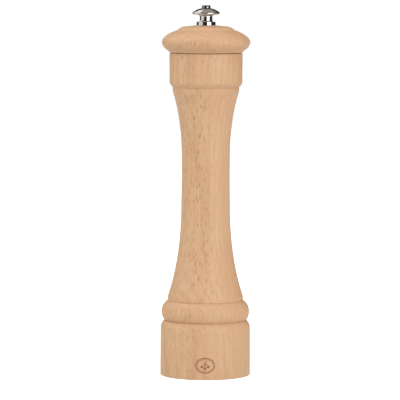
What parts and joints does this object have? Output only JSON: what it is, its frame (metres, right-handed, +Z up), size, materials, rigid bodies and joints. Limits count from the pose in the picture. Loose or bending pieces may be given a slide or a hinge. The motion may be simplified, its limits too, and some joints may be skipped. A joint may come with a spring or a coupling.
{
  "type": "pepper mill",
  "caption": "Turned wooden pepper mill with a rotating head, metal adjusting knob, square spindle and steel grinder held under the foot.",
  "frame": {"origin": "centre of the foot, on the surface that the mill stands on", "axes": "+Z up along the turning axis, -Y towards the front, where the maker's mark sits"},
  "size_m": [0.0536, 0.0536, 0.22],
  "materials": {
    "beech": "clear matt varnish on turned light beech, fine vertical grain with short darker flecks",
    "nickel": "polished nickel plate, mirror bright",
    "zinc": "bright zinc plated mild steel, lightly brushed",
    "hard_steel": "case-hardened dark steel with machined teeth",
    "spring_steel": "drawn spring steel wire"
  },
  "bodies": {
    "base": {"body": "beech", "spindle_bridge": "zinc", "grinder_stator": "hard_steel", "mounting_plate": "zinc", "retaining_strap": "zinc", "strap_screw_left": "zinc", "strap_screw_right": "zinc", "plate_screw_front": "zinc", "plate_screw_back": "zinc"},
    "turning_washer": {"spring_washer": "zinc", "grinder_spring": "spring_steel"},
    "head": {"head": "beech", "drive_plate": "zinc", "drive_plate_screw_left": "zinc", "drive_plate_screw_right": "zinc", "knob_washer": "nickel"},
    "knob": {"adjusting_knob": "nickel"},
    "spindle": {"spindle": "zinc", "grinder_rotor": "hard_steel", "rotor_washer": "zinc", "spindle_clip": "spring_steel"}
  },
  "joints": [
    {"name": "grind_turn", "type": "hinge", "parent": "base", "child": "turning_washer", "pos_m": [0, 0, 0.0325], "axis": [0, 0, 1], "continuous": true},
    {"name": "head_lift", "type": "slide", "parent": "turning_washer", "child": "head", "axis": [0, 0, 1], "range_m": [0, 0.055]},
    {"name": "knob_turn", "type": "hinge", "parent": "head", "child": "knob", "pos_m": [0, 0, 0.2085], "axis": [0, 0, 1], "range_deg": [-270, 360]},
    {"name": "spindle_lift", "type": "slide", "parent": "turning_washer", "child": "spindle", "axis": [0, 0, 1], "range_m": [-0.0008, 0.0006], "deforming": ["grinder_spring"]}
  ],
  "couplings": [
    {"joint": "knob_turn", "follows": "spindle_lift", "rad_per_m": -7854}
  ]
}
